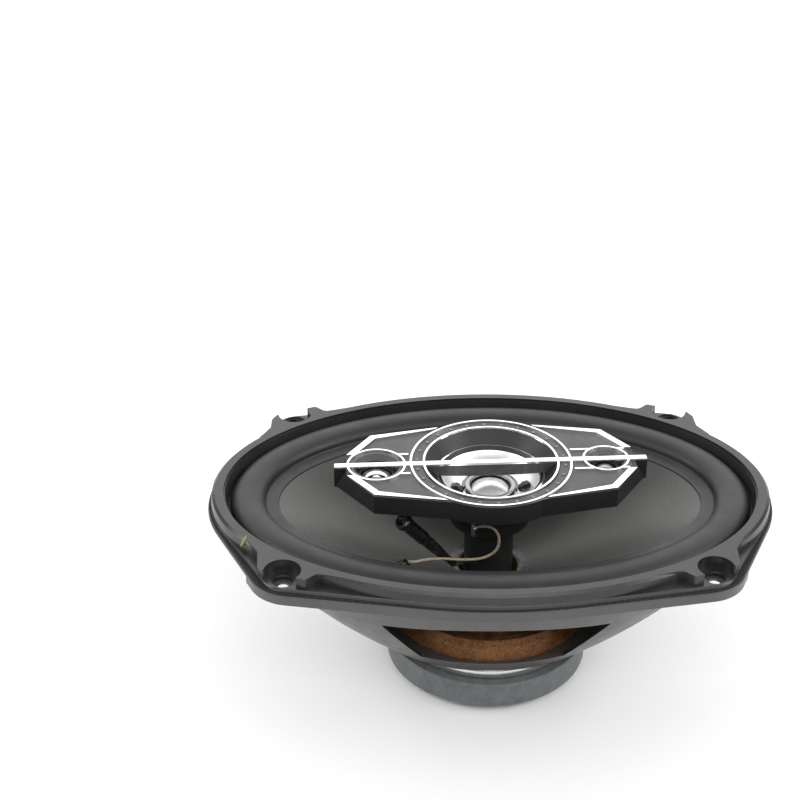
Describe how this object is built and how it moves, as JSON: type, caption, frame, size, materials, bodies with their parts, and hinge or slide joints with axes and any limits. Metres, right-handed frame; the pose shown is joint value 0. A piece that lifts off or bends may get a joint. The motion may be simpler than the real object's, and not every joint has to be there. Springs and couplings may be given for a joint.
{
  "type": "coaxial car speaker",
  "caption": "Oval multi-way car loudspeaker: pressed basket, roll-edge cone, ring magnet motor and a chrome-trimmed bridge carrying midrange and tweeter domes.",
  "frame": {"origin": "on the speaker's axis in the mounting plane, which is the flat underside of the basket's flange", "axes": "+Z the way the speaker plays (front), +X along its long axis, +Y completes the set, towards the terminal board"},
  "size_m": [0.236, 0.1576, 0.0983],
  "materials": {
    "steel_coated": "satin dark grey powder coat",
    "gasket_foam": "matt black foam",
    "ring_plastic": "fine grained dark grey plastic",
    "zinc_plate": "bright zinc plate",
    "ferrite": "mottled blue grey ferrite",
    "screw_steel": "zinc plated",
    "black_plastic": "satin",
    "cone_film": "metallic grey with fine straight hairlines",
    "former_film": "thin film",
    "copper_wire": "enamelled wire",
    "glue": "grey, slightly shiny",
    "black_glue": "black, shiny",
    "surround_rubber": "smooth dark grey rubber",
    "spider_cloth": "brown woven cotton, resin treated",
    "housing_plastic": "satin black",
    "face_plastic": "satin black",
    "chrome": "bright chrome on plastic",
    "stud_metal": "satin",
    "silver_film": "satin metallised film",
    "satin_metal": "satin",
    "tinsel_braid": "tinned copper braid over cotton",
    "tin": "tinned",
    "black_sleeve": "heat shrink",
    "cap_body": "sealed component",
    "phenolic": "brown laminate"
  },
  "bodies": {
    "basket": {"basket": "steel_coated", "gasket": "gasket_foam", "trim_ring": "ring_plastic", "top_plate": "zinc_plate", "magnet": "ferrite", "t_yoke": "zinc_plate", "post_screw": "screw_steel", "bridge_post": "black_plastic", "surround": "surround_rubber", "spider": "spider_cloth", "bridge_housing": "housing_plastic", "bridge_faceplate": "face_plastic", "chrome_ring_outer": "chrome", "chrome_ring_inner": "chrome", "chrome_ring_left": "chrome", "chrome_ring_right": "chrome", "ring_studs": "stud_metal", "chrome_bar": "chrome", "chrome_strips": "chrome", "mid_cup": "face_plastic", "mid_yoke": "zinc_plate", "mid_magnet": "ferrite", "mid_pole_plate": "zinc_plate", "mid_surround": "surround_rubber", "mid_rim_ring": "chrome", "center_stem": "face_plastic", "center_tweeter_body": "face_plastic", "center_tweeter_ring": "satin_metal", "left_tweeter_bowl": "face_plastic", "left_tweeter_magnet": "ferrite", "left_tweeter_ring": "satin_metal", "right_tweeter_bowl": "face_plastic", "right_tweeter_magnet": "ferrite", "right_tweeter_ring": "satin_metal", "tinsel_lead": "tinsel_braid", "solder_lug": "tin", "bridge_leads": "black_plastic", "capacitor_sleeve": "black_sleeve", "crossover_capacitor": "cap_body", "terminal_board": "phenolic", "terminal_spades": "tin", "terminal_rivets": "tin"},
    "cone": {"cone": "cone_film", "voice_coil_former": "former_film", "voice_coil": "copper_wire", "neck_glue": "glue", "lead_eyelet": "black_glue"},
    "mid": {"mid_cone": "silver_film", "mid_voice_coil": "copper_wire", "mid_lead_dabs": "black_glue"},
    "center_dome": {"center_dome": "silver_film"},
    "left_dome": {"left_dome": "chrome"},
    "right_dome": {"right_dome": "silver_film"}
  },
  "joints": [
    {"name": "cone_travel", "type": "slide", "parent": "basket", "child": "cone", "axis": [0, 0, 1], "range_m": [-0.003, 0.003], "stiffness_N_per_m": 2400, "deforming": ["surround", "spider", "tinsel_lead"]},
    {"name": "mid_travel", "type": "slide", "parent": "basket", "child": "mid", "axis": [0, 0, 1], "range_m": [-0.0005, 0.0005], "stiffness_N_per_m": 4000, "deforming": ["mid_surround"]},
    {"name": "center_dome_travel", "type": "slide", "parent": "basket", "child": "center_dome", "axis": [0, 0, 1], "range_m": [-0.0002, 0.0002], "stiffness_N_per_m": 9000},
    {"name": "left_dome_travel", "type": "slide", "parent": "basket", "child": "left_dome", "axis": [0, 0, 1], "range_m": [-0.0002, 0.0002], "stiffness_N_per_m": 9000},
    {"name": "right_dome_travel", "type": "slide", "parent": "basket", "child": "right_dome", "axis": [0, 0, 1], "range_m": [-0.0001, 0.0001], "stiffness_N_per_m": 9000}
  ]
}
